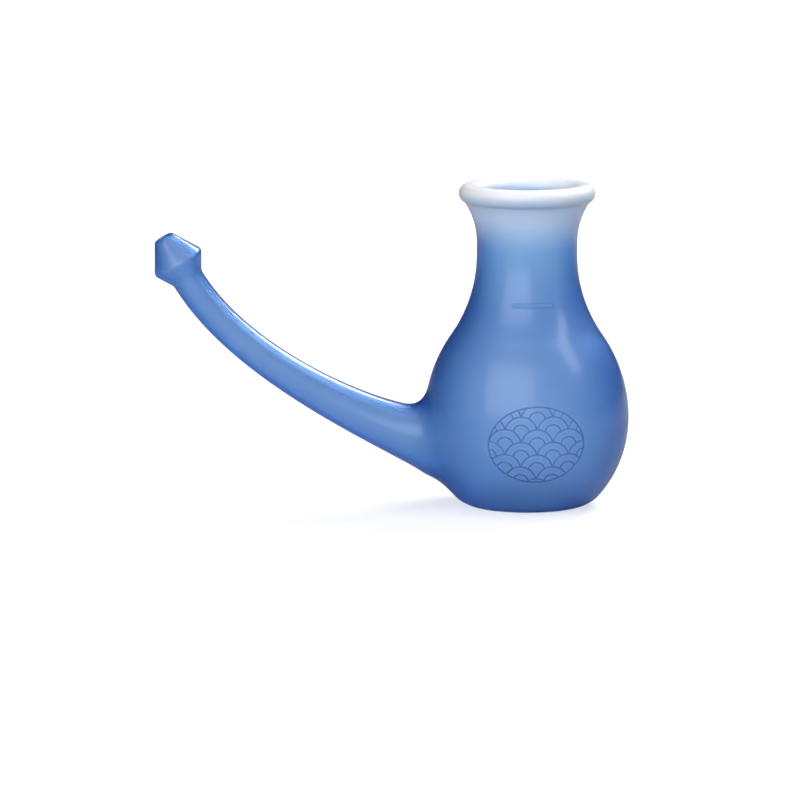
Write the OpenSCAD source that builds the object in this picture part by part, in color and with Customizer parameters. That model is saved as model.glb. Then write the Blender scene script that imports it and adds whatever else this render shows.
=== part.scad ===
// Neti pot: a long-necked nasal rinsing pot with a horn-shaped spout, moulded in one piece.
// Millimetres. The origin is the middle of the flat base. The spout points to -X, the ornament to -Y.

/* [Belly] */
// Widest diameter of the belly
belly_d = 99; // [92:0.5:108]
// Height of the widest part of the belly
belly_h = 43; // [40:0.5:47]
// Radius of the belly's curve below its widest part
belly_low_r = 57.4; // [54:0.2:62]
// Radius of the belly's curve above its widest part
belly_up_r = 70; // [60:0.5:75]
// Radius of the round edge between the base and the belly
base_round = 16.5; // [12:0.5:18]

/* [Neck] */
// Narrowest outer diameter of the neck
neck_d = 48.7; // [45:0.1:52]
// Height at which the shoulder's curve runs into the straight part of the neck
neck_low_h = 122.7; // [116:0.1:126]
// Height at which the straight part of the neck ends and the flare starts
neck_high_h = 128.6; // [127:0.1:131]

/* [Lip] */
// Outer diameter of the rolled lip
lip_d = 66.2; // [65:0.1:68]
// Height of the middle of the rolled lip
lip_h = 152.4; // [151:0.1:154]
// Thickness of the rolled lip from top to bottom
lip_t = 9.2; // [8.5:0.1:10]
// Diameter of the mouth, inside the rolled lip
mouth_d = 44.8; // [42:0.1:46]
// How far the lip stands out past the top of the neck's flare
lip_over = 1.7; // [1.2:0.1:3]

/* [Wall] */
// Wall of the body, the spout and the nozzle
wall = 1.8; // [1.4:0.1:2.4]

/* [Spout] */
// Distance from the pot's axis to the end of the tube, where the nozzle starts
spout_reach = 164.3; // [150:0.5:180]
// Height of the end of the tube, where the nozzle starts
spout_end_h = 112.8; // [100:0.5:125]
// Lean of the nozzle from the upright, away from the pot
nozzle_lean = 30.5; // [20:0.5:40]
// Height at which the spout's centreline leaves the belly
root_h = 33.4; // [31:0.2:38]
// Rise of the centreline where it leaves the belly, in degrees
root_rise = 3; // [0:0.5:8]
// How far the centreline holds its direction at the belly
root_pull = 9.3; // [6:0.1:20]
// How far the centreline holds its direction at the nozzle
end_pull = 56; // [40:1:65]
// Diameter of the tube where the nozzle starts
tube_d = 15.5; // [13:0.1:18]
// Diameter of the spout at the belly, before its blend
root_d = 34.4; // [30:0.2:37]
// How fast the spout grows towards the belly: a higher value keeps the tube slim for longer
root_swell = 2.44; // [1.8:0.02:3]
// Size of the blend between the spout and the belly
root_blend = 11; // [5:0.5:12]

/* [Nozzle] */
// Diameter of the nozzle's ridge, measured to its sharp corner
ridge_d = 26.3; // [24:0.1:29]
// Length of the nozzle from the tube to its ridge
nozzle_back_l = 9.1; // [7:0.1:12]
// Length of the nozzle from its ridge to its tip
nozzle_front_l = 14; // [11:0.1:18]
// Diameter of the nozzle's tip, measured to its sharp corner
tip_d = 9.6; // [8.5:0.1:11]
// Height of the dome on the nozzle's tip
tip_dome = 1; // [0.5:0.1:1.5]
// Radius of the round ridge
ridge_round = 3; // [1.5:0.1:3.5]
// Radius of the round edge of the tip
tip_round = 1.8; // [1:0.1:2]
// Radius of the hollow corner between the tube and the nozzle
heel_round = 5; // [2:0.5:8]
// Diameter of the outlet
outlet_d = 4.5; // [3:0.1:5]

/* [Fill mark] */
// Height of the fill mark
mark_h = 101; // [88:0.5:110]
// Length of the fill mark around the body
mark_l = 18; // [10:0.5:30]
// Width of the fill mark's bead
mark_w = 1.6; // [1.2:0.1:2.4]
// How far the fill mark stands out of the body
mark_relief = 0.4; // [0.2:0.05:0.6]

/* [Ornament] */
// Height of the middle of the oval ornament above the base
ornament_h = 36.5; // [30:0.5:42]
// Width of the oval ornament
ornament_w = 46; // [36:0.5:50]
// Height of the oval ornament
ornament_t = 37; // [30:0.5:38]
// Number of waves across the middle of the ornament
wave_count = 3; // [2:1:4]
// Width of the engraved line
line_w = 0.8; // [0.6:0.05:1]
// Depth of the engraved line
line_depth = 0.4; // [0.2:0.05:0.5]

/* [Hidden] */
$fn = 128;

// Degrees between the points of a turned outline, of the nozzle's corners and of an engraved arc
turned_step = 5;
nozzle_step = 10;
wave_step = 15;
// Rings of the tube, and of its root inside the belly, and the sides of a ring and of the bead
tube_rings = 30;
root_rings = 5;
spout_sides = 32;
bead_sides = 24;
// How far the root reaches into the belly, as a share of its diameter
root_share = 0.25;
// Halvings with which a point on the spout's skin is found
halvings = 15;
// Share of the roll's radius below its middle at which the wall ends inside it
roll_root = 0.6;
// Share of the blend after which the spout's skin dives into the belly's wall, and its slope there
blend_end = 0.7;
dive = 0.3;
// The farthest that the spout's skin is looked for off the tube, as a share of the blend
most_blend = 1.5;
// Height of a row of waves, as a share of a wave's radius
wave_row = 0.8;
// How far a cut runs past what it cuts
over = 1;
// Colour of the plastic
blue = [0.36, 0.53, 0.82];

// Centres of the arcs of the body's outline, each tangent to the next
belly_r = belly_d/2;
neck_r = neck_d/2;
low_x = belly_r - belly_low_r;
up_x = belly_r - belly_up_r;
edge_x = low_x + sqrt(pow(belly_low_r - base_round, 2) - pow(belly_h - base_round, 2));
edge_a = atan2(belly_h - base_round, edge_x - low_x);
neck_rise = neck_low_h - belly_h;
neck_step = neck_r - up_x;
shoulder_r = (neck_step*neck_step + neck_rise*neck_rise - belly_up_r*belly_up_r)/(belly_d - neck_d);
shoulder_x = neck_r + shoulder_r;
shoulder_a = atan2(neck_rise, shoulder_x - up_x);
roll_r = lip_t/2;
wall_top = lip_h - roll_root*roll_r;
flare_step = lip_d/2 - lip_over - neck_r;
flare_r = (pow(flare_step, 2) + pow(wall_top - neck_high_h, 2))/(2*flare_step);
flare_x = neck_r + flare_r;

// The spout's centreline, in X and Z: from the inside of the belly's wall to the nozzle
root_p = [wall - low_x - sqrt(belly_low_r*belly_low_r - pow(belly_h - root_h, 2)), root_h];
root_dir = [-cos(root_rise), sin(root_rise)];
root_c = root_p + root_pull*root_dir;
end_p = [-spout_reach, spout_end_h];
end_dir = [-sin(nozzle_lean), cos(nozzle_lean)];
end_c = end_p - end_pull*end_dir;
nozzle_l = nozzle_back_l + nozzle_front_l;
root_step = root_share*root_d/root_rings;

// Points of an arc about [x, z], at most step degrees apart
function arc(x, z, r, from, to, step) =
    let(n = ceil(abs(to - from)/step))
    [for (i = [0:n]) let(a = from + (to - from)*i/n) [x + r*cos(a), z + r*sin(a)]];

// Outline of the body from the middle of its base up into the lip, at a depth under its outside
function body_line(depth) =
    let(flare_a = asin((wall_top - neck_high_h)/(flare_r + depth)))
    concat(
        [[0, depth]],
        arc(edge_x, base_round, base_round - depth, -90, -edge_a, turned_step),
        arc(low_x, belly_h, belly_low_r - depth, -edge_a, 0, turned_step),
        arc(up_x, belly_h, belly_up_r - depth, 0, shoulder_a, turned_step),
        arc(shoulder_x, neck_low_h, shoulder_r + depth, 180 + shoulder_a, 180, turned_step),
        arc(flare_x, neck_high_h, flare_r + depth, 180, 180 - flare_a, turned_step)
    );

// The body as a solid, at a depth under its outside, with its top raised by rise
module turned_body(depth, rise) {
    line = body_line(depth);
    edge = line[len(line) - 1];
    rotate_extrude()
        polygon(concat(line, [[edge.x, edge.y + rise], [0, edge.y + rise]]));
}

// A thick ring: round outside and inside, flat on top where the two rounds meet
module lip() {
    rotate_extrude()
        polygon(concat(
            arc(lip_d/2 - roll_r, lip_h, roll_r, -90, 90, turned_step),
            arc(mouth_d/2 + roll_r, lip_h, roll_r, 90, 270, turned_step)
        ));
}

// Radius of the body at height z, above its widest part
function side_r(z) =
    z < belly_h + belly_up_r*sin(shoulder_a)
        ? up_x + sqrt(belly_up_r*belly_up_r - pow(z - belly_h, 2))
        : shoulder_x - sqrt(shoulder_r*shoulder_r - pow(neck_low_h - z, 2));

// A low bead around the front of the body
module fill_mark() {
    bead_x = side_r(mark_h) + mark_relief - mark_w/2;
    turn = mark_l/side_r(mark_h)*180/PI;
    rotate([0, 0, -90 - turn/2])
        rotate_extrude(angle = turn)
            translate([bead_x, mark_h])
                circle(d = mark_w, $fn = bead_sides);
}

// The tube's centreline at t, from 0 at the belly to 1 at the nozzle, and its direction there
function tube_p(t) =
    let(s = 1 - t)
    s*s*s*root_p + 3*s*s*t*root_c + 3*s*t*t*end_c + t*t*t*end_p;
function tube_dir(t) =
    let(s = 1 - t, d = s*s*(root_c - root_p) + 2*s*t*(end_c - root_c) + t*t*(end_p - end_c))
    d/norm(d);
function tube_r(t) = tube_d/2 + (root_d - tube_d)/2*pow(1 - t, root_swell);

// How far a point at height z and distance q from the pot's axis stands off the belly
function belly_gap(q, z) =
    z < belly_h
        ? norm([q - low_x, z - belly_h]) - belly_low_r
        : norm([q - up_x, z - belly_h]) - belly_up_r;

// The lesser of a and b, rounded where they are less than k apart
function soft_min(a, b, k) =
    let(h = max(k - abs(a - b), 0))
    min(a, b) - h*h/(4*k);

// The point of a ring about p, r away from it in the direction turn
function ring_point(p, up, turn, r) =
    [p.x + r*cos(turn)*up.x, r*sin(turn), p.y + r*cos(turn)*up.y];

// How far that point stands off the blended skin
function skin_gap(p, up, turn, tube, r) =
    let(
        point = ring_point(p, up, turn, r),
        off_tube = r - tube,
        off_belly = belly_gap(norm([point.x, point.y]), point.z)
    )
    soft_min(off_tube, off_belly + dive*max(off_tube - blend_end*root_blend, 0), root_blend);

// Distance from p, between low and high, at which the direction turn meets the skin
function skin_r(p, up, turn, tube, low, high, steps) =
    let(mid = (low + high)/2)
    steps == 0 ? mid
    : skin_gap(p, up, turn, tube, mid) < 0
        ? skin_r(p, up, turn, tube, mid, high, steps - 1)
        : skin_r(p, up, turn, tube, low, mid, steps - 1);

// The points of a ring about p, square to dir, on the skin of a tube blended into the belly
function blend_ring(p, dir, tube) =
    let(up = [dir.y, -dir.x], most = tube + most_blend*root_blend)
    [for (i = [0:spout_sides - 1])
        let(turn = 360*i/spout_sides)
        ring_point(p, up, turn, skin_r(p, up, turn, tube, tube, most, halvings))];

// The points of a round ring about p, square to dir
function round_ring(p, dir, r) =
    let(up = [dir.y, -dir.x])
    [for (i = [0:spout_sides - 1]) ring_point(p, up, 360*i/spout_sides, r)];

// The way from corner b to the middle of its round, and the half angle of the corner
function corner_way(a, b, c) =
    let(u = (a - b)/norm(a - b), v = (c - b)/norm(c - b))
    (u + v)/norm(u + v);
function corner_half(a, b, c) = acos((a - b)*(c - b)/norm(a - b)/norm(c - b))/2;

// Corner b of the outline a, b, c as an arc of radius r
function round_corner(a, b, c, r) =
    let(
        half = corner_half(a, b, c),
        middle = b + corner_way(a, b, c)*r/sin(half),
        start = b + (a - b)/norm(a - b)*r/tan(half) - middle,
        side = cross(b - a, c - b) > 0 ? 1 : -1,
        from = atan2(start.y, start.x)
    )
    arc(middle.x, middle.y, r, from, from + side*(180 - 2*half), nozzle_step);

// Corner b of the outline a, b, c moved in by depth, where the outline turns towards its axis
function inner_corner(a, b, c, depth) = b + corner_way(a, b, c)*depth/sin(corner_half(a, b, c));

// Outlines of the nozzle's outside and of its hollow: distance along its axis, and radius
tube_end = [0, tube_d/2];
ridge = [nozzle_back_l, ridge_d/2];
tip = [nozzle_l, tip_d/2];
dome = [nozzle_l + tip_dome, 0];
function nozzle_skin() = concat(
    [for (p = round_corner([-heel_round, tube_d/2], tube_end, ridge, heel_round)) if (p.x > 0) p],
    round_corner(tube_end, ridge, tip, ridge_round),
    round_corner(ridge, tip, dome, tip_round)
);
function nozzle_hollow() = [
    inner_corner(tube_end, ridge, tip, wall),
    inner_corner(ridge, tip, dome, wall)
];

// A solid through rings of points, closed flat at its start and to a point at its end
module skin(rings, point) {
    n = spout_sides;
    last = len(rings) - 1;
    points = concat([for (ring = rings) each ring], [point]);
    walls = [
        for (i = [0:last - 1], j = [0:n - 1])
            let(a = i*n + j, b = i*n + (j + 1)%n)
            each [[a, a + n, b + n], [a, b + n, b]]
    ];
    start = [for (j = [0:n - 1]) j];
    end = [for (j = [0:n - 1]) [last*n + j, len(rings)*n, last*n + (j + 1)%n]];
    polyhedron(points, concat([start], walls, end));
}

// A point on the nozzle's axis, and the rings of an outline turned about that axis
function nozzle_point(s) = let(p = end_p + s*end_dir) [p.x, 0, p.y];
function nozzle_rings(line) = [for (s = line) round_ring(end_p + s.x*end_dir, end_dir, s.y)];

// The outside of the spout: its root in the belly, its tube and its nozzle
module spout_skin() {
    skin(
        concat(
            [for (i = [root_rings:-1:1])
                blend_ring(root_p - i*root_step*root_dir, root_dir, root_d/2)],
            [for (i = [0:tube_rings])
                let(t = i/tube_rings)
                blend_ring(tube_p(t), tube_dir(t), tube_r(t))],
            nozzle_rings(nozzle_skin())
        ),
        nozzle_point(dome.x)
    );
}

// The hollow of the spout, which starts inside the belly's hollow and ends under the nozzle's dome
module spout_hollow() {
    skin(
        concat(
            [round_ring(root_p - root_rings*root_step*root_dir, root_dir, root_d/2 - wall)],
            [for (i = [0:tube_rings])
                let(t = i/tube_rings)
                round_ring(tube_p(t), tube_dir(t), tube_r(t) - wall)],
            nozzle_rings(nozzle_hollow())
        ),
        nozzle_point(dome.x - wall)
    );
}

// Wave arcs in rows, each row half a wave aside, inside an oval frame
module ornament_lines() {
    wave_r = ornament_w/wave_count/2;
    row = wave_row*wave_r;
    columns = ceil(wave_count/2);
    rows = ceil(ornament_t/row);
    difference() {
        oval(line_w/2);
        oval(-line_w/2);
    }
    intersection() {
        oval(0);
        for (j = [-rows:rows], i = [-columns:columns])
            let(x = (2*i + j%2)*wave_r, z = j*row)
            if (norm([x/(ornament_w/2 + wave_r), (2*z + wave_r)/(ornament_t + wave_r)]) < 1)
                translate([x, z]) {
                    wave(wave_r, wave_r, row);
                    wave(wave_r/2, wave_r, row);
                }
    }
}

// The oval, larger all round by grow
module oval(grow) {
    polygon([for (a = [0:wave_step/2:359])
        [(ornament_w/2 + grow)*cos(a), (ornament_t/2 + grow)*sin(a)]]);
}

// An arc of radius r, down to where the waves of the next row hide it
module wave(r, wave_r, row) {
    cut_a = acos((r*r + row*row)/(2*r*norm([wave_r, row]))) - atan2(row, wave_r);
    polygon(concat(
        arc(0, 0, r + line_w/2, cut_a, 180 - cut_a, wave_step),
        arc(0, 0, r - line_w/2, 180 - cut_a, cut_a, wave_step)
    ));
}

// What the engraving takes out of the body's front
module ornament() {
    difference() {
        translate([0, 0, ornament_h])
            rotate([90, 0, 0])
                linear_extrude(belly_r + over)
                    ornament_lines();
        turned_body(line_depth, over);
    }
}

// The whole pot: its hollow skin, the lip, the fill mark, the ornament's lines and the outlet
module pot() {
    color(blue)
        difference() {
            union() {
                difference() {
                    union() {
                        turned_body(0, 0);
                        spout_skin();
                    }
                    turned_body(wall, over);
                    spout_hollow();
                }
                lip();
                fill_mark();
            }
            ornament();
            translate([end_p.x, 0, end_p.y])
                rotate([0, -nozzle_lean, 0])
                    translate([0, 0, nozzle_back_l])
                        cylinder(d = outlet_d, h = nozzle_l);
        }
}

pot();
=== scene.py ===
import math
from functools import partial

import bmesh
import bpy
from bpy.props import FloatProperty, FloatVectorProperty, IntProperty, PointerProperty
from bpy.types import Operator, Panel, PropertyGroup
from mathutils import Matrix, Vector

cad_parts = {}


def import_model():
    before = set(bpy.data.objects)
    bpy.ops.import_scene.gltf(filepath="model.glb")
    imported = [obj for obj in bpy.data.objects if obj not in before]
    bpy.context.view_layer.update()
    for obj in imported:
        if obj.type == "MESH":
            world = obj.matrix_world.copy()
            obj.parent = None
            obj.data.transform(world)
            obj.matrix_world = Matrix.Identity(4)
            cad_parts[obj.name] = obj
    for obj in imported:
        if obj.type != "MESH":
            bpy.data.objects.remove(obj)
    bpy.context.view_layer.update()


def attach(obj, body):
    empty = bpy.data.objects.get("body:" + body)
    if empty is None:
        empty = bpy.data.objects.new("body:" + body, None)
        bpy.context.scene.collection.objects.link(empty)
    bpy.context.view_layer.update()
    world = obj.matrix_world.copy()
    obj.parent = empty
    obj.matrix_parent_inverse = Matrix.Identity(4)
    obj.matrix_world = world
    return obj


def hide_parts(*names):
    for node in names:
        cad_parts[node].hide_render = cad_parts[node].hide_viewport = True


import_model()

bl_info = {
    "name": "Neti Pot",
    "version": (1, 0, 0),
    "blender": (4, 5, 0),
    "location": "3D View > Sidebar > Neti Pot",
    "description": "Models a frosted plastic neti pot with a horn-shaped spout, and the studio around it",
    "category": "Add Mesh",
}

# Height of the pot, and the reach of the spout's side from the axis, for the colours
POT_TOP, SPOUT_SIDE = 0.157, -0.06
# Points that are closer than this are one
SAME_POINT = 1e-6
# Longest steps along the body's outside, its inside, the lip and the nozzle
OUTSIDE_STEP, INSIDE_STEP, LIP_STEP, NOZZLE_STEP = 0.0019, 0.0027, 0.0006, 0.0005
# Radii of the rings in the base and in the floor inside, as shares of the flat's radius
BASE_RINGS, FLOOR_RINGS = (0, 0.4, 0.8), (0.7, 0)
# How far under the lip's middle the flare's curve is set out to, as a share of the lip's thickness
FLARE_END = 0.3
# Size of the round in the creases where the lip meets the flare, and the faces across it
CREASE_ROUND, CREASE_FACES = 0.0004, 3
# Where the search along the spout's centreline starts and ends, and how often it halves
SEARCH_START, SEARCH_END, SEARCH_HALVINGS = -2.0, 0.9, 24
# Highest place at which the spout's root cuts the body, and the room left around its hole
ROOT_TOP, ROOT_MARGIN = 0.075, 0.0008
# Where along the centreline the rings come to stand square to it
SQUARE_START = 0.34
# Rings across the blend, on to the square ones, and along the tube
SKIN_RINGS, PASSAGE_RINGS = (14, 6, 60), (8, 4, 36)
# Length of tube in the nozzle's outline, and the rounds of the outline's corners in turn
NOZZLE_BACK = 0.0025
NOZZLE_ROUNDS = (0.005, 0.003, 0.0018, 0.0003, 0.0003, 0.0006, 0.0015, 0.0068)
# Rise from one row of waves to the next, as a share of a wave's radius
WAVE_ROW = 0.8
# Half the height of the zone that belongs to the fill mark
MARK_ZONE = 0.006
# Half the widths over which the bead and the lines slope, as shares of their widths
BEAD_SLOPE, LINE_SLOPE = 0.75, 0.65
# Depth under the outside at which a point still counts as on it
SKIN_DEPTH = 0.0009
# Reach around the marks within which faces are cut finer, beside half a line, and the cuts
FIRST_REACH, FIRST_CUTS = 0.0018, 2
NEXT_REACHES = (0.0009, 0.0003)
# Heights between which the plastic turns from clear to milky
MILK_START, MILK_END = 0.124, 0.156
# Where the clouds' noise starts and ends
CLOUD_SPAN = (0.3, 0.7)
# How far the clouds take the colour down and up, and the roughness either way
CLOUD_DARK, CLOUD_LIGHT, CLOUD_FROST = (0.92, 0.96, 0.99), (1.08, 1.04, 1.01), 0.05
# Brightness of the painted highlight on a line's edge and on the fill mark's crest
EDGE_HIGHLIGHT = 1.5
# Distances from the pot between which the floor's own light grows, and its levels for the camera
GLOW_START, GLOW_END, GLOW_NEAR, GLOW_FAR = 0.25, 1.6, 0.6, 1
# The floor's own light far from the pot, as it shines through the plastic
GLOW_THROUGH = 0.65
# Direction in which the air is brightest, and its level where it is darkest
AIR_WAY, AIR_DARK = (-0.25, -0.75, 0.6), 0.05
# The middle of the view, right of the pot's foot and above it
VIEW_RIGHT, VIEW_UP = -0.0614, 0.0508


# Kinds of property for lengths, angles, shares and colours
LengthProperty = partial(FloatProperty, unit="LENGTH")
AngleProperty = partial(FloatProperty, subtype="ANGLE", unit="ROTATION")
ShareProperty = partial(FloatProperty, min=0.0, max=1.0, subtype="FACTOR")
ColourProperty = partial(FloatVectorProperty, size=3, min=0.0, max=1.0, subtype="COLOR")


class NetiPotBody(PropertyGroup):
    """Sizes of the turned body."""

    belly_diameter: LengthProperty(
        name="Belly Diameter", description="Widest diameter of the belly", default=0.099, min=0.05,
    )
    belly_height: LengthProperty(
        name="Belly Height", description="Height of the widest part of the belly", default=0.043, min=0.02,
    )
    belly_low_radius: LengthProperty(
        name="Lower Curve", description="Radius of the belly's curve below its widest part",
        default=0.0574, min=0.02,
    )
    belly_up_radius: LengthProperty(
        name="Upper Curve", description="Radius of the belly's curve above its widest part",
        default=0.07, min=0.02,
    )
    base_round: LengthProperty(
        name="Base Round", description="Radius of the round edge between the base and the belly",
        default=0.0165, min=0.002,
    )
    neck_diameter: LengthProperty(
        name="Neck Diameter", description="Narrowest outer diameter of the neck", default=0.0487, min=0.02,
    )
    neck_low: LengthProperty(
        name="Neck Foot", description="Height at which the shoulder's curve runs into the neck",
        default=0.1227, min=0.05,
    )
    neck_high: LengthProperty(
        name="Neck Top", description="Height at which the neck starts to flare", default=0.1286, min=0.05,
    )
    lip_diameter: LengthProperty(
        name="Lip Diameter", description="Outer diameter of the rolled lip", default=0.0662, min=0.03,
    )
    lip_height: LengthProperty(
        name="Lip Height", description="Height of the middle of the rolled lip", default=0.1524, min=0.05,
    )
    lip_thickness: LengthProperty(
        name="Lip Thickness", description="Thickness of the rolled lip from top to bottom",
        default=0.0092, min=0.002,
    )
    mouth_diameter: LengthProperty(
        name="Mouth Diameter", description="Diameter of the mouth, inside the rolled lip",
        default=0.0448, min=0.01,
    )
    lip_over: LengthProperty(
        name="Lip Overhang", description="How far the lip stands out past the top of the neck's flare",
        default=0.0017, min=0.0,
    )
    wall: LengthProperty(
        name="Wall", description="Thickness of the body's and the spout's wall", default=0.0018, min=0.0005,
    )
    segments: IntProperty(name="Segments", description="Faces around the body", default=160, min=32, max=512)


class NetiPotSpout(PropertyGroup):
    """Sizes of the spout and its nozzle."""

    reach: LengthProperty(
        name="Reach", description="Distance from the pot's axis to the foot of the nozzle",
        default=0.1643, min=0.08,
    )
    end_height: LengthProperty(
        name="End Height", description="Height of the foot of the nozzle", default=0.1128, min=0.05,
    )
    lean: AngleProperty(
        name="Nozzle Lean", description="Lean of the nozzle from the upright", default=math.radians(30.5),
    )
    root_height: LengthProperty(
        name="Root Height", description="Height at which the spout's centreline leaves the belly",
        default=0.0334, min=0.01,
    )
    root_rise: AngleProperty(
        name="Root Rise", description="Rise of the centreline where it leaves the belly",
        default=math.radians(3),
    )
    root_pull: LengthProperty(
        name="Root Pull", description="How far the centreline holds its direction at the belly",
        default=0.0093, min=0.001,
    )
    end_pull: LengthProperty(
        name="End Pull", description="How far the centreline holds its direction at the nozzle",
        default=0.056, min=0.001,
    )
    tube_diameter: LengthProperty(
        name="Tube Diameter", description="Diameter of the tube where the nozzle starts",
        default=0.0155, min=0.005,
    )
    root_diameter: LengthProperty(
        name="Root Diameter", description="Diameter of the spout at the belly", default=0.0344, min=0.01,
    )
    root_swell: FloatProperty(
        name="Root Swell", description="How fast the spout grows towards the belly", default=2.44, min=1.0,
    )
    root_blend: LengthProperty(
        name="Root Blend", description="Size of the blend between the spout and the belly",
        default=0.011, min=0.001,
    )
    ridge_diameter: LengthProperty(
        name="Ridge Diameter", description="Diameter of the nozzle's ridge, to its sharp corner",
        default=0.0263, min=0.01,
    )
    back_length: LengthProperty(
        name="Back Length", description="Length of the nozzle from the tube to its ridge",
        default=0.0091, min=0.002,
    )
    front_length: LengthProperty(
        name="Front Length", description="Length of the nozzle from its ridge to its tip",
        default=0.014, min=0.002,
    )
    tip_diameter: LengthProperty(
        name="Tip Diameter", description="Diameter of the nozzle's tip, to its sharp corner",
        default=0.0096, min=0.005,
    )
    tip_dome: LengthProperty(
        name="Tip Dome", description="Height of the dome on the nozzle's tip", default=0.001, min=0.0,
    )
    outlet_diameter: LengthProperty(
        name="Outlet Diameter", description="Diameter of the hole in the nozzle's tip",
        default=0.0045, min=0.001,
    )
    segments: IntProperty(name="Segments", description="Faces around the spout", default=96, min=24, max=256)


class NetiPotMarks(PropertyGroup):
    """Sizes of the fill mark and the engraved ornament."""

    mark_height: LengthProperty(
        name="Mark Height", description="Height of the fill mark", default=0.101, min=0.02,
    )
    mark_length: LengthProperty(
        name="Mark Length", description="Length of the fill mark around the body", default=0.018, min=0.002,
    )
    mark_width: LengthProperty(
        name="Mark Width", description="Width of the fill mark's bead", default=0.0016, min=0.0005,
    )
    mark_relief: LengthProperty(
        name="Mark Relief", description="How far the fill mark stands out", default=0.0004, min=0.0,
    )
    ornament_height: LengthProperty(
        name="Ornament Height", description="Height of the middle of the oval ornament",
        default=0.0365, min=0.0,
    )
    ornament_width: LengthProperty(
        name="Ornament Width", description="Width of the oval ornament", default=0.046, min=0.01,
    )
    ornament_length: LengthProperty(
        name="Ornament Length", description="Length of the oval ornament from top to bottom",
        default=0.037, min=0.01,
    )
    wave_count: IntProperty(
        name="Waves", description="Number of waves across the middle of the ornament",
        default=3, min=1, max=8,
    )
    line_width: LengthProperty(
        name="Line Width", description="Width of the engraved line", default=0.0009, min=0.0002,
    )
    line_depth: LengthProperty(
        name="Line Depth", description="Depth of the engraved line", default=0.0004, min=0.0,
    )


class NetiPotPlastic(PropertyGroup):
    """Colours and finish of the frosted plastic."""

    depth_blue: ColourProperty(
        name="Depth Blue", description="Colour that light takes on in the plastic's depth",
        default=(0.13, 0.61, 0.89),
    )
    depth_strength: FloatProperty(
        name="Depth Strength", description="How strongly the plastic's depth colours light, per metre",
        default=535, min=0.0,
    )
    belly_blue: ColourProperty(
        name="Belly Blue", description="Colour of the plastic's face at the belly and the spout",
        default=(0.92, 0.82, 0.91),
    )
    neck_blue: ColourProperty(
        name="Neck Blue", description="Colour of the plastic's face at the neck", default=(0.98, 0.89, 0.93),
    )
    # Painted light: the flare is paler where the lit inside of the mouth shines through it
    flare_light_blue: ColourProperty(
        name="Flare Blue", description="Colour of the plastic's face where the neck flares",
        default=(0.98, 0.99, 1.0),
    )
    # Painted shade: deeper blue in the crease under the lip
    lip_crease_shade: ColourProperty(
        name="Lip Blue", description="Colour of the plastic's face around the lip", default=(0.7, 0.87, 1.0),
    )
    # Painted highlight: white on top of the lip
    lip_top_highlight: ColourProperty(
        name="Lip White", description="Colour of the plastic's face on top of the lip",
        default=(0.97, 0.99, 1.0),
    )
    # Painted shade: the colour that darkens the engraved lines and the sides of the fill mark
    line_shade_blue: ColourProperty(
        name="Line Blue", description="Colour that the engraved lines lend to the plastic's face",
        default=(0.1, 0.22, 0.45),
    )
    lip_milk: ShareProperty(
        name="Lip Milk", description="Share of the lip's face that scatters light and lets none through",
        default=0.7,
    )
    frost: ShareProperty(name="Frost", description="Roughness of the frosted plastic", default=0.5)
    gloss: ShareProperty(
        name="Gloss", description="Strength of the soft gloss on the frosted face", default=0.52,
    )
    gloss_blur: ShareProperty(
        name="Gloss Blur", description="Roughness of the soft gloss on the frosted face", default=0.2,
    )


class NetiPotStudio(PropertyGroup):
    """The studio's camera and light."""

    view_width: LengthProperty(
        name="View Width", description="Width of the view at the pot", default=0.3888, min=0.1,
    )
    camera_distance: LengthProperty(
        name="Camera Distance", description="Distance from the camera to the pot", default=3.5, min=0.5,
    )
    camera_turn: AngleProperty(
        name="Camera Turn", description="Turn of the camera from the pot's front", default=math.radians(-5),
    )
    camera_rise: AngleProperty(
        name="Camera Rise", description="Angle of the camera above the floor", default=math.radians(8.5),
    )
    floor_grey: ColourProperty(name="Floor", description="Colour of the floor", default=(0.36, 0.36, 0.36))
    floor_glow: FloatProperty(
        name="Floor Glow", description="Light that the floor near the pot sends through the plastic",
        default=0.3, min=0.0,
    )
    front_light: FloatProperty(
        name="Front Light", description="Power of the broad softbox in front of the pot, in watts",
        default=38, min=0.0,
    )
    top_light: FloatProperty(
        name="Top Light", description="Power of the softbox above the pot, in watts", default=6, min=0.0,
    )
    back_light: FloatProperty(
        name="Back Light", description="Power of the softbox behind the pot on the right, in watts",
        default=28, min=0.0,
    )
    side_light: FloatProperty(
        name="Side Light", description="Power of the narrow softbox beside the pot, in watts",
        default=5, min=0.0,
    )
    air_light: FloatProperty(
        name="Air Light", description="Strength of the light from all around, where it is brightest",
        default=0.7, min=0.0,
    )
    air_back: FloatProperty(
        name="Air Back", description="Strength of the light from behind that passes through the plastic",
        default=0.95, min=0.0,
    )
    air_sides: FloatProperty(
        name="Air Sides", description="Strength of the light from both sides that passes through the plastic",
        default=0.2, min=0.0,
    )


def search(before):
    """The place along the spout's centreline, found by halving, up to which before holds."""
    low, high = SEARCH_START, SEARCH_END
    for _ in range(SEARCH_HALVINGS):
        mid = (low + high) / 2
        if before(mid):
            low = mid
        else:
            high = mid
    return low


def hump(share):
    """A smooth hump: 1 at 0, and level with the ground at 1."""
    return 0.5 + 0.5 * math.cos(math.pi * share)


# Outlines in a plane, as lists of points
def arc_line(middle, radius, start, end, spacing):
    """Points of an arc about middle, at most spacing apart, from angle start to angle end."""
    count = max(2, math.ceil(abs(end - start) * radius / spacing))
    turns = (start + (end - start) * i / count for i in range(count + 1))
    return [Vector((middle[0] + radius * math.cos(a), middle[1] + radius * math.sin(a))) for a in turns]


def joined(*lines):
    """The lines as one, without the points at which one ends and the next starts."""
    points = []
    for line in lines:
        for point in line:
            if not points or (point - points[-1]).length > SAME_POINT:
                points.append(point)
    return points


def corner_way(before, corner, after):
    """The direction from a corner into the round that fits it, and half the corner's angle."""
    back, on = (before - corner).normalized(), (after - corner).normalized()
    return (back + on).normalized(), back.angle(on) / 2


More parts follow.
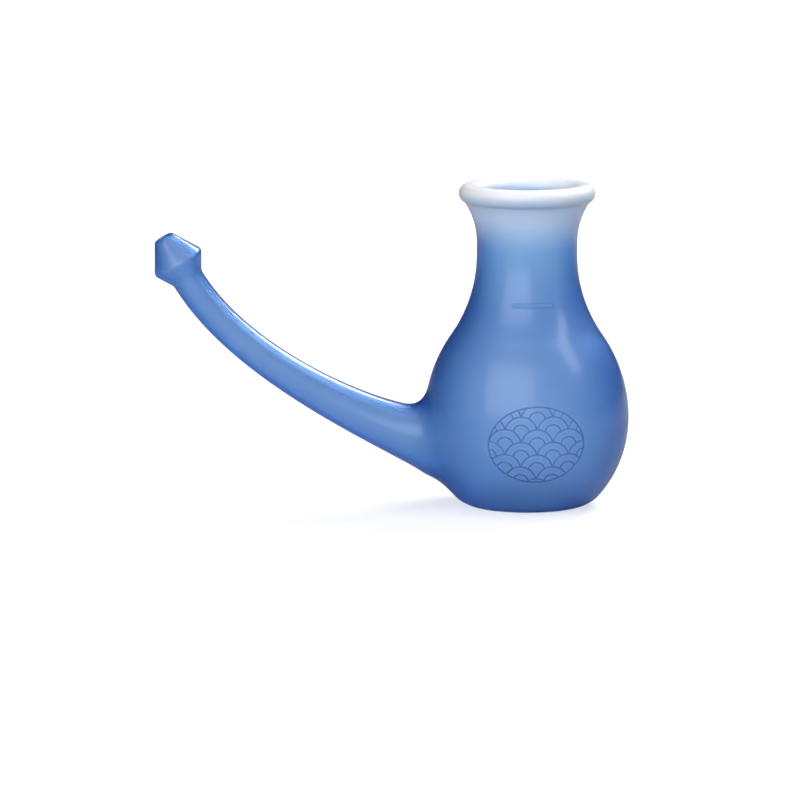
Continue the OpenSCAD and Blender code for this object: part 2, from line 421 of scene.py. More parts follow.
def rounded(corners, radii, spacing):
    """The line through the corners, each inner one rounded, with points at most spacing apart."""
    points = [corners[0]]
    for before, corner, after, radius in zip(corners, corners[1:], corners[2:], radii):
        way, half = corner_way(before, corner, after)
        middle = corner + way * radius / math.sin(half)
        start = corner + (before - corner).normalized() * radius / math.tan(half) - middle
        end = corner + (after - corner).normalized() * radius / math.tan(half) - middle
        turn = start.angle_signed(end)
        steps = max(3, math.ceil(abs(turn) * radius / spacing))
        first = math.atan2(start.y, start.x)
        # angle_signed counts clockwise turns as positive
        turns = (first - turn * i / steps for i in range(steps + 1))
        points += [middle + radius * Vector((math.cos(a), math.sin(a))) for a in turns]
    points.append(corners[-1])
    return points


def spaced(line, spacing):
    """The line with points added where two of its points are more than spacing apart."""
    points = [line[0]]
    for a, b in zip(line, line[1:]):
        count = max(1, math.ceil((b - a).length / spacing))
        points += [a.lerp(b, (i + 1) / count) for i in range(count)]
    return points


class BodyShape:
    """The turned body: an outline of arcs that run into each other, from the base up to the lip."""

    def __init__(self, sizes):
        self.sizes = sizes
        belly_r, neck_r = sizes.belly_diameter / 2, sizes.neck_diameter / 2
        edge_rise = sizes.belly_height - sizes.base_round
        neck_rise = sizes.neck_low - sizes.belly_height
        self.low = Vector((belly_r - sizes.belly_low_radius, sizes.belly_height))
        self.up = Vector((belly_r - sizes.belly_up_radius, sizes.belly_height))
        edge_step = math.sqrt((sizes.belly_low_radius - sizes.base_round) ** 2 - edge_rise**2)
        self.edge = Vector((self.low.x + edge_step, sizes.base_round))
        self.edge_turn = math.atan2(edge_rise, edge_step)
        neck_step = neck_r - self.up.x
        self.shoulder_r = (neck_step**2 + neck_rise**2 - sizes.belly_up_radius**2) / (belly_r - neck_r) / 2
        self.shoulder = Vector((neck_r + self.shoulder_r, sizes.neck_low))
        self.shoulder_turn = math.atan2(neck_rise, self.shoulder.x - self.up.x)
        flare_step = sizes.lip_diameter / 2 - sizes.lip_over - neck_r
        flare_rise = sizes.lip_height - FLARE_END * sizes.lip_thickness - sizes.neck_high
        self.flare_r = (flare_step**2 + flare_rise**2) / 2 / flare_step
        self.flare = Vector((neck_r + self.flare_r, sizes.neck_high))

    def side_line(self, depth, top, spacing):
        """The outline at a depth under the outside, from the edge of the base up to the height top."""
        sizes = self.sizes
        flare_turn = math.asin((top - self.flare.y) / (self.flare_r + depth))
        shoulder_turn = math.pi + self.shoulder_turn
        neck = [
            Vector((sizes.neck_diameter / 2 - depth, sizes.neck_low)),
            Vector((sizes.neck_diameter / 2 - depth, sizes.neck_high)),
        ]
        return joined(
            arc_line(self.edge, sizes.base_round - depth, -math.pi / 2, -self.edge_turn, spacing),
            arc_line(self.low, sizes.belly_low_radius - depth, -self.edge_turn, 0, spacing),
            arc_line(self.up, sizes.belly_up_radius - depth, 0, self.shoulder_turn, spacing),
            arc_line(self.shoulder, self.shoulder_r + depth, shoulder_turn, math.pi, spacing),
            spaced(neck, spacing),
            arc_line(self.flare, self.flare_r + depth, math.pi, math.pi - flare_turn, spacing),
        )

    def lip_line(self, spacing):
        """The rolled lip's outline, from the outside of the flare over the top to its inside."""
        sizes = self.sizes
        roll = sizes.lip_thickness / 2
        outer = Vector((sizes.lip_diameter / 2 - roll, sizes.lip_height))
        inner = Vector((sizes.mouth_diameter / 2 + roll, sizes.lip_height))
        way = outer - self.flare
        along = (self.flare_r**2 - roll**2 + way.length_squared) / 2 / way.length
        aside = math.sqrt(self.flare_r**2 - along**2)
        way.normalize()
        meet = self.flare + way * along + Vector((-way.y, way.x)) * aside
        inner_r = self.flare_r + sizes.wall
        under = sizes.lip_height - roll
        inner_meet = Vector((self.flare.x - math.sqrt(inner_r**2 - (under - self.flare.y) ** 2), under))
        start = math.atan2(meet.y - outer.y, meet.x - outer.x)
        return joined(
            arc_line(outer, roll, start, math.pi / 2, spacing),
            arc_line(inner, roll, math.pi / 2, math.pi * 3 / 2, spacing),
            [inner_meet],
        )

    def radius_at(self, height):
        """The outside's radius at a height between the base's edge and the neck."""
        sizes = self.sizes
        if height < self.edge.y - sizes.base_round * math.sin(self.edge_turn):
            return self.edge.x + math.sqrt(sizes.base_round**2 - (height - self.edge.y) ** 2)
        if height < self.low.y:
            return self.low.x + math.sqrt(sizes.belly_low_radius**2 - (height - self.low.y) ** 2)
        if height < self.up.y + sizes.belly_up_radius * math.sin(self.shoulder_turn):
            return self.up.x + math.sqrt(sizes.belly_up_radius**2 - (height - self.up.y) ** 2)
        return self.shoulder.x - math.sqrt(self.shoulder_r**2 - (height - self.shoulder.y) ** 2)

    def slope_at(self, height):
        """How fast the outside's radius grows with height."""
        step = 0.0001
        return (self.radius_at(height + step) - self.radius_at(height - step)) / (2 * step)

    def gap(self, point):
        """How far a point stands off the belly."""
        sizes = self.sizes
        flat = Vector((math.hypot(point.x, point.y), point.z))
        if flat.y > self.up.y:
            return (flat - self.up).length - sizes.belly_up_radius
        if math.atan2(self.low.y - flat.y, flat.x - self.low.x) < self.edge_turn:
            return (flat - self.low).length - sizes.belly_low_radius
        return (flat - self.edge).length - sizes.base_round


class SpoutShape:
    """The spout: a tube about a curved centreline, blended into the belly, and its nozzle."""

    def __init__(self, sizes, body):
        self.sizes = sizes
        self.body = body
        low_r = body.sizes.belly_low_radius
        belly_x = body.low.x + math.sqrt(low_r**2 - (body.low.y - sizes.root_height) ** 2)
        self.root = Vector((body.sizes.wall - belly_x, 0, sizes.root_height))
        self.root_way = Vector((-math.cos(sizes.root_rise), 0, math.sin(sizes.root_rise)))
        self.end = Vector((-sizes.reach, 0, sizes.end_height))
        self.end_way = Vector((-math.sin(sizes.lean), 0, math.cos(sizes.lean)))
        self.bends = (
            self.root,
            self.root + sizes.root_pull * self.root_way,
            self.end - sizes.end_pull * self.end_way,
            self.end,
        )

    def centre(self, t):
        """The centreline's point and direction at t, from 0 at the belly to 1 at the nozzle."""
        if t < 0:
            return self.root + 3 * self.sizes.root_pull * t * self.root_way, self.root_way
        a, b, c, d = self.bends
        s = 1 - t
        point = s * s * s * a + 3 * s * s * t * b + 3 * s * t * t * c + t * t * t * d
        way = s * s * (b - a) + 2 * s * t * (c - b) + t * t * (d - c)
        return point, way.normalized()

    def radius(self, t):
        """The tube's radius at t."""
        sizes = self.sizes
        swell = (1 - max(t, 0)) ** sizes.root_swell
        return (sizes.tube_diameter + (sizes.root_diameter - sizes.tube_diameter) * swell) / 2

    def ring_point(self, t, turn, off):
        """The point beside the centreline at t, in the direction turn around it, that far off the tube."""
        point, way = self.centre(t)
        r = self.radius(t) + off
        return point + r * math.cos(turn) * Vector((way.z, 0, -way.x)) + Vector((0, r * math.sin(turn), 0))

    def off_tube(self, point):
        """How far a point near the root stands off the tube."""
        def before(t):
            at, way = self.centre(t)
            return (point - at).dot(way) > 0

        nearest = search(before)
        return (point - self.centre(nearest)[0]).length - self.radius(nearest)

    def blend_t(self, turn, share, depth):
        """Where along the centreline the blend is a share of its way from the belly to the tube."""
        size = self.sizes.root_blend
        off = size * (1 - share) ** 2 - depth
        rise = size * share**2 - depth
        return search(lambda t: self.body.gap(self.ring_point(t, turn, off)) < rise)

    def blend_ring(self, turns, share, depth):
        """A ring of the blend between the belly and the tube, at a depth under its outside."""
        off = self.sizes.root_blend * (1 - share) ** 2 - depth
        return [self.ring_point(self.blend_t(turn, share, depth), turn, off) for turn in turns]

    def nozzle_line(self, spacing):
        """The nozzle's outline, over its outside, through the outlet and back inside."""
        sizes, wall = self.sizes, self.body.sizes.wall
        tube_r, hole_r = sizes.tube_diameter / 2, sizes.outlet_diameter / 2
        length = sizes.back_length + sizes.front_length
        start = Vector((-NOZZLE_BACK, tube_r))
        foot = Vector((0, tube_r))
        ridge = Vector((sizes.back_length, sizes.ridge_diameter / 2))
        tip = Vector((length, sizes.tip_diameter / 2))
        peak = Vector((length + sizes.tip_dome, 0))
        rim = tip.lerp(peak, 1 - hole_r / tip.y)
        way, half = corner_way(start, foot, ridge)
        inner_foot = foot - way * wall / math.sin(half)
        way, half = corner_way(foot, ridge, tip)
        inner_ridge = ridge + way * wall / math.sin(half)
        way, half = corner_way(ridge, tip, peak)
        inner_tip = tip + way * wall / math.sin(half)
        inner_peak = peak - Vector((wall, 0))
        inner_rim = inner_tip.lerp(inner_peak, 1 - hole_r / inner_tip.y)
        corners = (
            start, foot, ridge, tip, rim,
            inner_rim, inner_tip, inner_ridge, inner_foot, start - Vector((0, wall)),
        )
        return spaced(rounded(corners, NOZZLE_ROUNDS, spacing), 4 * spacing)

    def rings(self):
        """Rings of points from the belly along the spout to its outlet, and back inside."""
        count = self.sizes.segments
        wall = self.body.sizes.wall
        turns = [2 * math.pi * i / count for i in range(count)]
        tube_end = 1 - NOZZLE_BACK / (3 * self.sizes.end_pull)

        def side(depth, blend_steps, turn_steps, tube_steps):
            rings = [self.blend_ring(turns, i / blend_steps, depth) for i in range(blend_steps + 1)]
            starts = [self.blend_t(turn, 1, depth) for turn in turns]
            for i in range(1, turn_steps):
                share = i / turn_steps
                rings.append([
                    self.ring_point(start + (SQUARE_START - start) * share, turn, -depth)
                    for start, turn in zip(starts, turns)
                ])
            for i in range(tube_steps):
                t = SQUARE_START + (tube_end - SQUARE_START) * i / tube_steps
                rings.append([self.ring_point(t, turn, -depth) for turn in turns])
            return rings

        across, up = Vector((0, 1, 0)), Vector((self.end_way.z, 0, -self.end_way.x))
        nozzle = [
            [
                self.end + along * self.end_way + off * (math.cos(turn) * up + math.sin(turn) * across)
                for turn in turns
            ]
            for along, off in self.nozzle_line(NOZZLE_STEP)
        ]
        return side(0, *SKIN_RINGS) + nozzle + side(wall, *PASSAGE_RINGS)[::-1]


class Ornament:
    """Rows of overlapping wave arcs in an oval frame, on the belly's front."""

    def __init__(self, sizes):
        self.sizes = sizes
        self.wave_r = sizes.ornament_width / sizes.wave_count / 2
        self.row = WAVE_ROW * self.wave_r
        self.reach = {r: self.cut_turn(r) for r in (self.wave_r, self.wave_r / 2)}

    def cut_turn(self, r):
        """The angle at which an arc of radius r runs under the next row's wave."""
        away = math.hypot(self.wave_r, self.row)
        return math.acos((r * r + self.row**2) / (2 * r * away)) - math.atan2(self.row, self.wave_r)

    def frame_gap(self, x, z):
        """How far a point is outside the oval; less than nothing inside it."""
        a, b = self.sizes.ornament_width / 2, self.sizes.ornament_length / 2
        share = math.hypot(x / a, z / b)
        slope = math.hypot(x / a / a, z / b / b)
        return share * (share - 1) / slope if slope > 1e-9 else -b

    def line_gap(self, x, z):
        """The distance from a point of the belly's front to the nearest line."""
        out = self.frame_gap(x, z)
        near = abs(out)
        if out > 0:
            return near
        first = math.floor((z - self.wave_r) / self.row)
        for j in range(first, first + 4):
            shift = (j % 2) * self.wave_r
            i = round((x - shift) / (2 * self.wave_r))
            for k in (i - 1, i, i + 1):
                dx, dz = x - shift - 2 * k * self.wave_r, z - j * self.row
                for r, cut in self.reach.items():
                    turn = math.atan2(dz, dx)
                    if cut <= turn <= math.pi - cut:
                        gap = abs(math.hypot(dx, dz) - r)
                    else:
                        gap = min(
                            math.hypot(dx - r * math.cos(cut), dz - r * math.sin(cut)),
                            math.hypot(dx + r * math.cos(cut), dz - r * math.sin(cut)),
                        )
                    near = min(near, gap)
        return near


class Marks:
    """How far the front stands out at the fill mark, and in at the ornament's lines."""

    def __init__(self, sizes, body):
        self.sizes = sizes
        self.body = body
        self.ornament = Ornament(sizes)
        self.mark_r = body.radius_at(sizes.mark_height)

    def mark_gap(self, point):
        """The distance from a point of the front to the fill mark's middle line."""
        along = math.atan2(point.x, -point.y) * self.mark_r
        past = max(abs(along) - self.sizes.mark_length / 2, 0)
        return math.hypot(past, point.z - self.sizes.mark_height)

    def ornament_gap(self, point):
        """The distance from a point of the front to the nearest line of the ornament."""
        return self.ornament.line_gap(point.x, point.z - self.sizes.ornament_height)

    def in_mark_zone(self, point):
        """True for a point that only the fill mark can be near."""
        return abs(point.z - self.sizes.mark_height) < MARK_ZONE

    def near(self, point, reach):
        """True for a point of the outside's front within reach of a mark."""
        if point.y > 0 or math.hypot(point.x, point.y) < self.body.radius_at(point.z) - SKIN_DEPTH:
            return False
        if self.in_mark_zone(point):
            return self.mark_gap(point) < reach + self.sizes.mark_width / 2
        out = self.ornament.frame_gap(point.x, point.z - self.sizes.ornament_height)
        return out < reach and self.ornament_gap(point) < reach

    def relief(self, point):
        """How far the surface stands out of the plain body at a point of the front."""
        sizes = self.sizes
        if self.in_mark_zone(point):
            share = self.mark_gap(point) / (sizes.mark_width * BEAD_SLOPE)
            return sizes.mark_relief * hump(share) if share < 1 else 0
        share = self.ornament_gap(point) / (sizes.line_width * LINE_SLOPE)
        return -sizes.line_depth * hump(share) if share < 1 else 0

    def shade(self, point):
        """How much painted shade the plastic gets: 1 in a line and some at the fill mark's sides, and less
        than nothing for the painted highlight on a line's edge and on the mark's crest.
        """
        sizes = self.sizes
        if self.in_mark_zone(point):
            share = self.mark_gap(point) / (sizes.mark_width * BEAD_SLOPE)
            return -math.cos(math.pi * share) * (1 - share / 1.5) if share < 1.5 else 0
        share = self.ornament_gap(point) / (sizes.line_width * LINE_SLOPE)
        if share < 1:
            return hump(share)
        return -0.5 * math.sin(math.pi * (share - 1)) if share < 2 else 0


# Steps that make the pot's mesh
def turn_body(bm, shape):
    """The body as one closed shell with its wall, turned from its outline."""
    lip = shape.lip_line(LIP_STEP)
    outside = shape.side_line(0, lip[0].y, OUTSIDE_STEP)
    inside = shape.side_line(shape.sizes.wall, lip[-1].y, INSIDE_STEP)
    edge = shape.edge.x
    base = [Vector((edge * share, 0)) for share in BASE_RINGS]
    floor = [Vector((edge * share, shape.sizes.wall)) for share in FLOOR_RINGS]
    line = joined(base, outside, lip, inside[::-1], floor)
    verts = [bm.verts.new((x, 0, z)) for x, z in line]
    edges = [bm.edges.new(pair) for pair in zip(verts, verts[1:])]
    bmesh.ops.spin(
        bm, geom=verts + edges, cent=(0, 0, 0), axis=(0, 0, 1), dvec=(0, 0, 0),
        angle=2 * math.pi, steps=shape.sizes.segments, use_merge=True,
    )
    bmesh.ops.remove_doubles(bm, verts=bm.verts, dist=SAME_POINT)

    def on_crease(vert):
        flat = Vector((math.hypot(vert.co.x, vert.co.y), vert.co.z))
        return any((flat - end).length < 10 * SAME_POINT for end in (lip[0], lip[-1]))

    edges = [e for e in bm.edges if on_crease(e.verts[0]) and on_crease(e.verts[1])]
    bmesh.ops.bevel(
        bm, geom=edges, offset=CREASE_ROUND, offset_type="OFFSET", segments=CREASE_FACES, profile=0.5,
        affect="EDGES", material=-1, clamp_overlap=True,
    )


def open_root(bm, body, spout):
    """Cuts holes for the spout in the body's outside and inside, and gives back their edges."""
    reach, wall = spout.sizes.root_blend + ROOT_MARGIN, body.sizes.wall
    off = {}
    for vert in bm.verts:
        if vert.co.x < 0 and vert.co.z < ROOT_TOP:
            inside = body.gap(vert.co) < -wall / 2
            off[vert] = (inside, spout.off_tube(vert.co) + (wall if inside else 0))

    def cut(face):
        return any(vert in off and off[vert][1] < reach for vert in face.verts)

    def within(face):
        return all(vert in off and off[vert][0] for vert in face.verts)

    doomed = [face for face in bm.faces if cut(face)]
    rims = ([], [])
    gone = set(doomed)
    for face in doomed:
        for edge in face.edges:
            if sum(other in gone for other in edge.link_faces) == 1:
                rims[within(face)].append(edge)
    bmesh.ops.delete(bm, geom=doomed, context="FACES")
    return rims


def add_spout(bm, rings, rims):
    """The spout's skin and passage as one sleeve, bridged to the holes in the body."""
    count = len(rings[0])
    made = bmesh.ops.create_circle(bm, cap_ends=False, segments=count, radius=0.01)
    loop = made["verts"]
    for vert, point in zip(loop, rings[0]):
        vert.co = point
    edges = [bm.edges.get((loop[i - 1], loop[i])) for i in range(count)]
    first = edges
    for ring in rings[1:]:
        grown = bmesh.ops.extrude_edge_only(bm, edges=edges)["geom"]
        edges = [e for e in grown if isinstance(e, bmesh.types.BMEdge)]
        fresh = {item for item in grown if isinstance(item, bmesh.types.BMVert)}
        loop = [next(v for v in (e.other_vert(old) for e in old.link_edges) if v in fresh) for old in loop]
        for vert, point in zip(loop, ring):
            vert.co = point
        edges = [bm.edges.get((loop[i - 1], loop[i])) for i in range(count)]
    bmesh.ops.bridge_loops(bm, edges=first + rims[0])
    bmesh.ops.bridge_loops(bm, edges=edges + rims[1])


def cut_marks(bm, body, marks):
    """The fill mark and the ornament's lines, on faces that get finer towards them."""
    width = marks.sizes.line_width
    passes = [(FIRST_REACH, FIRST_CUTS)] + [(reach + width / 2, 1) for reach in NEXT_REACHES]
    for reach, cuts in passes:
        faces = [f for f in bm.faces if marks.near(f.calc_center_median(), reach)]
        split = bmesh.ops.subdivide_edges(
            bm, edges=list(dict.fromkeys(e for f in faces for e in f.edges)), cuts=cuts,
            use_grid_fill=True, use_single_edge=True,
        )
        for item in split["geom_inner"]:
            if isinstance(item, bmesh.types.BMVert):
                spread = body.radius_at(item.co.z) / math.hypot(item.co.x, item.co.y)
                item.co.x *= spread
                item.co.y *= spread
    # Painted shade and painted highlight of the marks, kept on each vertex for the plastic's colour
    shade = bm.verts.layers.float.new("line_shade")
    for vert in bm.verts:
        if marks.near(vert.co, width + marks.sizes.mark_width):
            relief = marks.relief(vert.co)
            vert[shade] = marks.shade(vert.co)
            if relief:
                out = Vector((vert.co.x, vert.co.y, 0)).normalized()
                vert.co += relief * (out - Vector((0, 0, body.slope_at(vert.co.z)))).normalized()


# Materials
def node(tree, kind, place, **values):
    """A shader node at a place in the node editor, with its settings and its inputs' plain values."""
    made = tree.nodes.new(kind)
    made.location = place
    for name, value in values.items():
        if name in made.inputs:
            made.inputs[name].default_value = value
        else:
            setattr(made, name, value)
    return made


def fresh_tree(owner):
    """The emptied node tree of a new material or world, and what links its nodes."""
    owner.use_nodes = True
    owner.node_tree.nodes.clear()
    return owner.node_tree, owner.node_tree.links.new


def mapped(tree, place, value, span, to, **settings):
    """A Map Range node that takes a value from one span to another."""
    made = node(tree, "ShaderNodeMapRange", place, **settings)
    for name, limit in zip(("From Min", "From Max", "To Min", "To Max"), (*span, *to)):
        made.inputs[name].default_value = limit
    tree.links.new(value, made.inputs["Value"])
    return made


def frosted_plastic(sizes):
    """Frosted plastic, clear blue in its depth, milky at the lip, with a mould's fine grain."""
    material = bpy.data.materials.new("frosted_plastic")
    tree, link = fresh_tree(material)
    place = node(tree, "ShaderNodeTexCoord", (-1800, 0))
    parts = node(tree, "ShaderNodeSeparateXYZ", (-1600, 200))
    link(place.outputs["Object"], parts.inputs[0])
    # The spout and its nozzle keep the belly's colour, at whatever height they are
    beside = node(tree, "ShaderNodeMath", (-1400, 300), operation="GREATER_THAN")
    link(parts.outputs["X"], beside.inputs[0])
    beside.inputs[1].default_value = SPOUT_SIDE
    height = node(tree, "ShaderNodeMath", (-1200, 200), operation="MULTIPLY")
    link(parts.outputs["Z"], height.inputs[0])
    link(beside.outputs[0], height.inputs[1])
    share = mapped(tree, (-1000, 300), height.outputs[0], (0, POT_TOP), (0, 1))
    # Colour by height: the plastic's own blue pales from the belly to the neck; the paler flare is painted
    # light from the lit inside of the mouth, the deeper blue band in the crease under the lip is painted
    # shade, and the white on the lip's top is painted highlight
    ramp = node(tree, "ShaderNodeValToRGB", (-800, 300))
    ramp.color_ramp.interpolation = "EASE"
    stops = ramp.color_ramp.elements
    stops[0].position, stops[0].color = 0.6, (*sizes.belly_blue, 1)
    stops[1].position, stops[1].color = 0.99, (*sizes.lip_top_highlight, 1)
    for position, colour in ((0.78, sizes.neck_blue), (0.89, sizes.flare_light_blue), (0.96, sizes.lip_crease_shade)):
        stop = stops.new(position)
        stop.color = (*colour, 1)
    link(share.outputs["Result"], ramp.inputs["Fac"])

    # Soft clouds where the plastic cooled unevenly
    clouds = node(tree, "ShaderNodeTexNoise", (-1200, -50), Scale=28, Detail=2)
    link(place.outputs["Object"], clouds.inputs["Vector"])
    cloud_blue = node(tree, "ShaderNodeMapRange", (-1000, -50), data_type="FLOAT_VECTOR")
    # The node's vector inputs have the same names as its plain ones, and come after them
    vectors = cloud_blue.inputs[6:11]
    link(clouds.outputs["Fac"], vectors[0])
    low, high = CLOUD_SPAN
    for socket, limit in zip(vectors[1:], ((low,) * 3, (high,) * 3, CLOUD_DARK, CLOUD_LIGHT)):
        socket.default_value = limit
    # Painted shade in the lines and at the fill mark's sides, with painted highlight on the lines' edges and
    # on the mark's crest
    line = node(tree, "ShaderNodeAttribute", (-1400, -250), attribute_name="line_shade")
    dark = node(tree, "ShaderNodeMix", (-1000, -300), data_type="RGBA")
    link(line.outputs["Fac"], dark.inputs["Factor"])
    dark.inputs["A"].default_value = (1, 1, 1, 1)
    dark.inputs["B"].default_value = (*sizes.line_shade_blue, 1)
    bright = mapped(tree, (-1000, -550), line.outputs["Fac"], (-1, 0), (EDGE_HIGHLIGHT, 1))
    lines = node(tree, "ShaderNodeVectorMath", (-800, -400), operation="SCALE")
    link(dark.outputs["Result"], lines.inputs[0])
    link(bright.outputs["Result"], lines.inputs["Scale"])
    level = node(tree, "ShaderNodeVectorMath", (-650, -100), operation="MULTIPLY")
    link(cloud_blue.outputs["Vector"], level.inputs[0])
    link(lines.outputs[0], level.inputs[1])
    colour = node(tree, "ShaderNodeVectorMath", (-500, 200), operation="MULTIPLY")
    link(ramp.outputs["Color"], colour.inputs[0])
    link(level.outputs[0], colour.inputs[1])

    clear = mapped(
        tree, (-800, 600), height.outputs[0], (MILK_START, MILK_END), (1, 1 - sizes.lip_milk),
        interpolation_type="SMOOTHSTEP",
    )
    frosts = (sizes.frost - CLOUD_FROST, sizes.frost + CLOUD_FROST)
    rough = mapped(tree, (-800, -700), clouds.outputs["Fac"], CLOUD_SPAN, frosts)
    grain = node(tree, "ShaderNodeTexNoise", (-800, -1000), Scale=1400, Detail=3)
    link(place.outputs["Object"], grain.inputs["Vector"])
    bump = node(tree, "ShaderNodeBump", (-500, -900), Strength=0.12, Distance=0.0001)
    link(grain.outputs["Fac"], bump.inputs["Height"])

    plastic = node(tree, "ShaderNodeBsdfPrincipled", (-200, 200))
    plastic.inputs["IOR"].default_value = 1.25
    plastic.inputs["Coat Weight"].default_value = sizes.gloss
    plastic.inputs["Coat Roughness"].default_value = sizes.gloss_blur
    link(colour.outputs[0], plastic.inputs["Base Color"])
    link(clear.outputs["Result"], plastic.inputs["Transmission Weight"])
    link(rough.outputs["Result"], plastic.inputs["Roughness"])
    link(bump.outputs["Normal"], plastic.inputs["Normal"])
    link(bump.outputs["Normal"], plastic.inputs["Coat Normal"])
    out = node(tree, "ShaderNodeOutputMaterial", (200, 100))
    link(plastic.outputs["BSDF"], out.inputs["Surface"])
    depth = node(tree, "ShaderNodeVolumeAbsorption", (-200, -500))
    depth.inputs["Color"].default_value = (*sizes.depth_blue, 1)
    depth.inputs["Density"].default_value = sizes.depth_strength
    link(depth.outputs["Volume"], out.inputs["Volume"])
    return material


def floor_paint(sizes):
    """A pale floor that reads as white outside the pot's shadow."""
    material = bpy.data.materials.new("studio_floor")
    tree, link = fresh_tree(material)
    place = node(tree, "ShaderNodeTexCoord", (-1000, 0))
    away = node(tree, "ShaderNodeVectorMath", (-800, 0), operation="LENGTH")
    link(place.outputs["Object"], away.inputs[0])
    path = node(tree, "ShaderNodeLightPath", (-800, -300))

    def glow(ray, levels, height):
        """The floor's own light for one kind of ray, near the pot and far from it."""
        level = mapped(
            tree, (-600, height), away.outputs["Value"], (GLOW_START, GLOW_END), levels,
            interpolation_type="SMOOTHSTEP",
        )
        part = node(tree, "ShaderNodeMath", (-400, height), operation="MULTIPLY")
        link(level.outputs["Result"], part.inputs[0])
        link(path.outputs[ray], part.inputs[1])
        return part

    # Seen by the camera, the floor is white, and through the plastic it is darker near the pot
    whole = node(tree, "ShaderNodeMath", (-200, 0), operation="ADD")
    link(glow("Is Camera Ray", (GLOW_NEAR, GLOW_FAR), 100).outputs[0], whole.inputs[0])
    through = glow("Is Transmission Ray", (sizes.floor_glow, GLOW_THROUGH), -200)
    link(through.outputs[0], whole.inputs[1])
    light = node(tree, "ShaderNodeEmission", (0, 0))
    link(whole.outputs[0], light.inputs["Strength"])
    matte = node(tree, "ShaderNodeBsdfDiffuse", (0, -200))
    matte.inputs["Color"].default_value = (*sizes.floor_grey, 1)
    both = node(tree, "ShaderNodeAddShader", (200, 0))
    link(light.outputs[0], both.inputs[0])
    link(matte.outputs[0], both.inputs[1])
    out = node(tree, "ShaderNodeOutputMaterial", (400, 0))
    link(both.outputs[0], out.inputs["Surface"])
    return material


def studio_air(sizes):
    """The air around: white to the camera, and for its light brightest above the camera."""
    world = bpy.data.worlds.new("studio_air")
    tree, link = fresh_tree(world)
    place = node(tree, "ShaderNodeTexCoord", (-1000, 0))
    along = node(tree, "ShaderNodeVectorMath", (-800, 0), operation="DOT_PRODUCT")
    link(place.outputs["Generated"], along.inputs[0])
    along.inputs[1].default_value = AIR_WAY
    level = mapped(
        tree, (-600, 0), along.outputs["Value"], (-0.3, 0.9), (AIR_DARK, sizes.air_light),
        interpolation_type="SMOOTHSTEP",
    )
    path = node(tree, "ShaderNodeLightPath", (-600, 300))
    parts = node(tree, "ShaderNodeSeparateXYZ", (-1000, -300))
    link(place.outputs["Generated"], parts.inputs[0])
    aside = node(tree, "ShaderNodeMath", (-800, -300), operation="ABSOLUTE")
    link(parts.outputs["X"], aside.inputs[0])
    # What shines through the plastic is bright behind it and dark at its sides
    sides = mapped(
        tree, (-600, -300), aside.outputs[0], (0.2, 0.9), (sizes.air_back, sizes.air_sides),
        interpolation_type="SMOOTHSTEP",
    )
    through = node(tree, "ShaderNodeMapRange", (-400, 0))
    link(path.outputs["Is Transmission Ray"], through.inputs["Value"])
    link(level.outputs["Result"], through.inputs["To Min"])
    link(sides.outputs["Result"], through.inputs["To Max"])
    seen = node(tree, "ShaderNodeMapRange", (-200, 0))
    link(path.outputs["Is Camera Ray"], seen.inputs["Value"])
    link(through.outputs["Result"], seen.inputs["To Min"])
    seen.inputs["To Max"].default_value = 1
    air = node(tree, "ShaderNodeBackground", (0, 0))
    link(seen.outputs["Result"], air.inputs["Strength"])
    out = node(tree, "ShaderNodeOutputWorld", (200, 0))
    link(air.outputs[0], out.inputs["Surface"])
    return world


class MESH_OT_neti_pot(Operator):
    """Model the neti pot in one piece: body, lip, spout, nozzle, fill mark and ornament"""

    bl_idname = "mesh.neti_pot"
    bl_label = "Pot"
    bl_options = {"REGISTER", "UNDO"}

    def execute(self, context):
        scene = context.scene
        body = BodyShape(scene.neti_pot_body)
        spout = SpoutShape(scene.neti_pot_spout, body)
        bm = bmesh.new()
        turn_body(bm, body)
        rims = open_root(bm, body, spout)
        add_spout(bm, spout.rings(), rims)
        cut_marks(bm, body, Marks(scene.neti_pot_marks, body))
        bmesh.ops.recalc_face_normals(bm, faces=bm.faces)
        mesh = bpy.data.meshes.new("pot_plastic")
        bm.to_mesh(mesh)
        bm.free()
        mesh.shade_smooth()
        mesh.materials.append(frosted_plastic(scene.neti_pot_plastic))
        piece = bpy.data.objects.new("pot_plastic", mesh)
        context.collection.objects.link(piece)
        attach(piece, "root")
        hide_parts("pot")
        return {"FINISHED"}


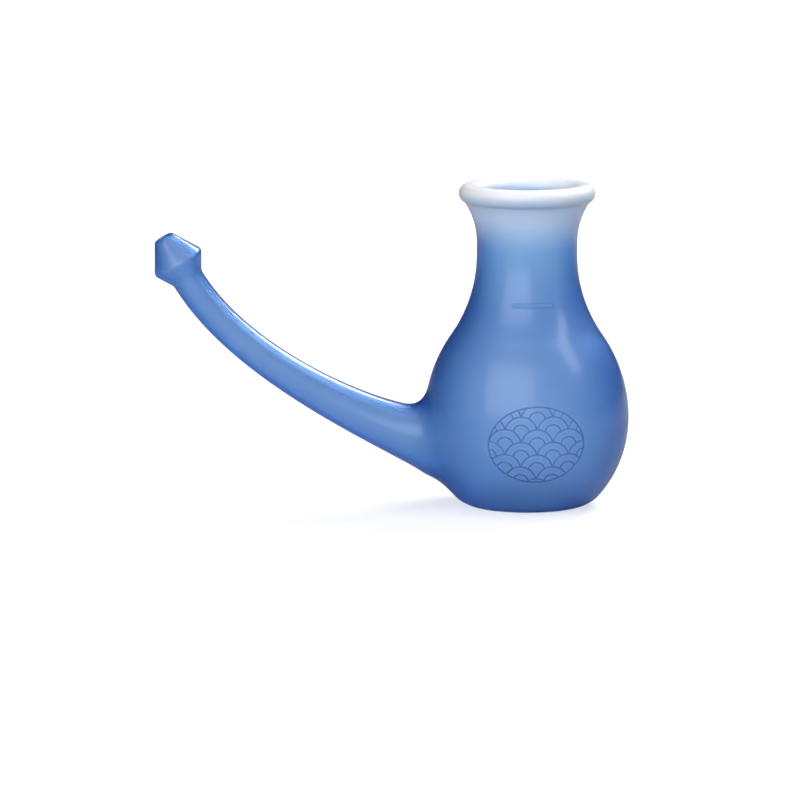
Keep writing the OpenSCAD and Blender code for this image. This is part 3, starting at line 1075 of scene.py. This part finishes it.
class SCENE_OT_neti_pot_studio(Operator):
    """Set up the floor, the light and the camera around the pot"""

    bl_idname = "scene.neti_pot_studio"
    bl_label = "Studio"
    bl_options = {"REGISTER", "UNDO"}

    def execute(self, context):
        scene = context.scene
        sizes = scene.neti_pot_studio
        bm = bmesh.new()
        bmesh.ops.create_grid(bm, x_segments=1, y_segments=1, size=9)
        mesh = bpy.data.meshes.new("studio_floor")
        bm.to_mesh(mesh)
        bm.free()
        mesh.materials.append(floor_paint(sizes))
        floor = bpy.data.objects.new("studio_floor", mesh)
        context.collection.objects.link(floor)

        turn, rise = sizes.camera_turn, sizes.camera_rise
        right = Vector((math.cos(turn), math.sin(turn), 0))
        level_back = Vector((math.sin(turn), -math.cos(turn), 0))
        back = level_back * math.cos(rise) + Vector((0, 0, math.sin(rise)))
        middle = VIEW_RIGHT * right + VIEW_UP * back.cross(right)
        data = bpy.data.cameras.new("studio_camera")
        data.lens = data.sensor_width * sizes.camera_distance / sizes.view_width
        data.clip_end = 50
        camera = bpy.data.objects.new("studio_camera", data)
        camera.location = middle + sizes.camera_distance * back
        camera.rotation_euler = back.to_track_quat("Z", "Y").to_euler()
        context.collection.objects.link(camera)
        scene.camera = camera

        def softbox(name, place, aim, width, length, power):
            lamp = bpy.data.lights.new(name, "AREA")
            lamp.shape = "RECTANGLE"
            lamp.size, lamp.size_y = width, length
            lamp.energy = power
            holder = bpy.data.objects.new(name, lamp)
            holder.location = place
            holder.rotation_euler = (Vector(place) - Vector(aim)).to_track_quat("Z", "Y").to_euler()
            context.collection.objects.link(holder)

        softbox("front_softbox", (-1.0, -1.9, 1.0), (-0.05, 0, 0.08), 2.4, 1.8, sizes.front_light)
        softbox("top_softbox", (-0.05, -0.3, 1.4), (-0.05, 0, 0.08), 1.6, 0.8, sizes.top_light)
        softbox("back_softbox", (0.79, 0.87, 1.11), (-0.08, 0, 0.08), 0.8, 0.5, sizes.back_light)
        softbox("side_softbox", (1.0, -0.42, 1.1), (0.02, 0, 0.07), 0.4, 0.8, sizes.side_light)
        scene.world = studio_air(sizes)
        scene.view_settings.view_transform = "Standard"
        return {"FINISHED"}


class VIEW3D_PT_neti_pot(Panel):
    """Lists the pot's steps and sizes."""

    bl_label = "Neti Pot"
    bl_idname = "VIEW3D_PT_neti_pot"
    bl_space_type = "VIEW_3D"
    bl_region_type = "UI"
    bl_category = "Neti Pot"

    def draw(self, context):
        layout = self.layout
        layout.use_property_split = True
        for operator in OPERATORS:
            layout.operator(operator.bl_idname)
        for title, name, group in GROUPS:
            box = layout.box()
            box.label(text=title)
            for prop in group.__annotations__:
                box.prop(getattr(context.scene, name), prop)


GROUPS = (
    ("Body", "neti_pot_body", NetiPotBody),
    ("Spout", "neti_pot_spout", NetiPotSpout),
    ("Marks", "neti_pot_marks", NetiPotMarks),
    ("Plastic", "neti_pot_plastic", NetiPotPlastic),
    ("Studio", "neti_pot_studio", NetiPotStudio),
)
OPERATORS = (MESH_OT_neti_pot, SCENE_OT_neti_pot_studio)


def register():
    for _, name, group in GROUPS:
        bpy.utils.register_class(group)
        setattr(bpy.types.Scene, name, PointerProperty(type=group))
    for operator in OPERATORS:
        bpy.utils.register_class(operator)
    bpy.utils.register_class(VIEW3D_PT_neti_pot)


def unregister():
    bpy.utils.unregister_class(VIEW3D_PT_neti_pot)
    for operator in OPERATORS:
        bpy.utils.unregister_class(operator)
    for _, name, group in GROUPS:
        delattr(bpy.types.Scene, name)
        bpy.utils.unregister_class(group)


def main():
    register()
    bpy.ops.mesh.neti_pot()
    bpy.ops.scene.neti_pot_studio()


if __name__ == "__main__":
    main()
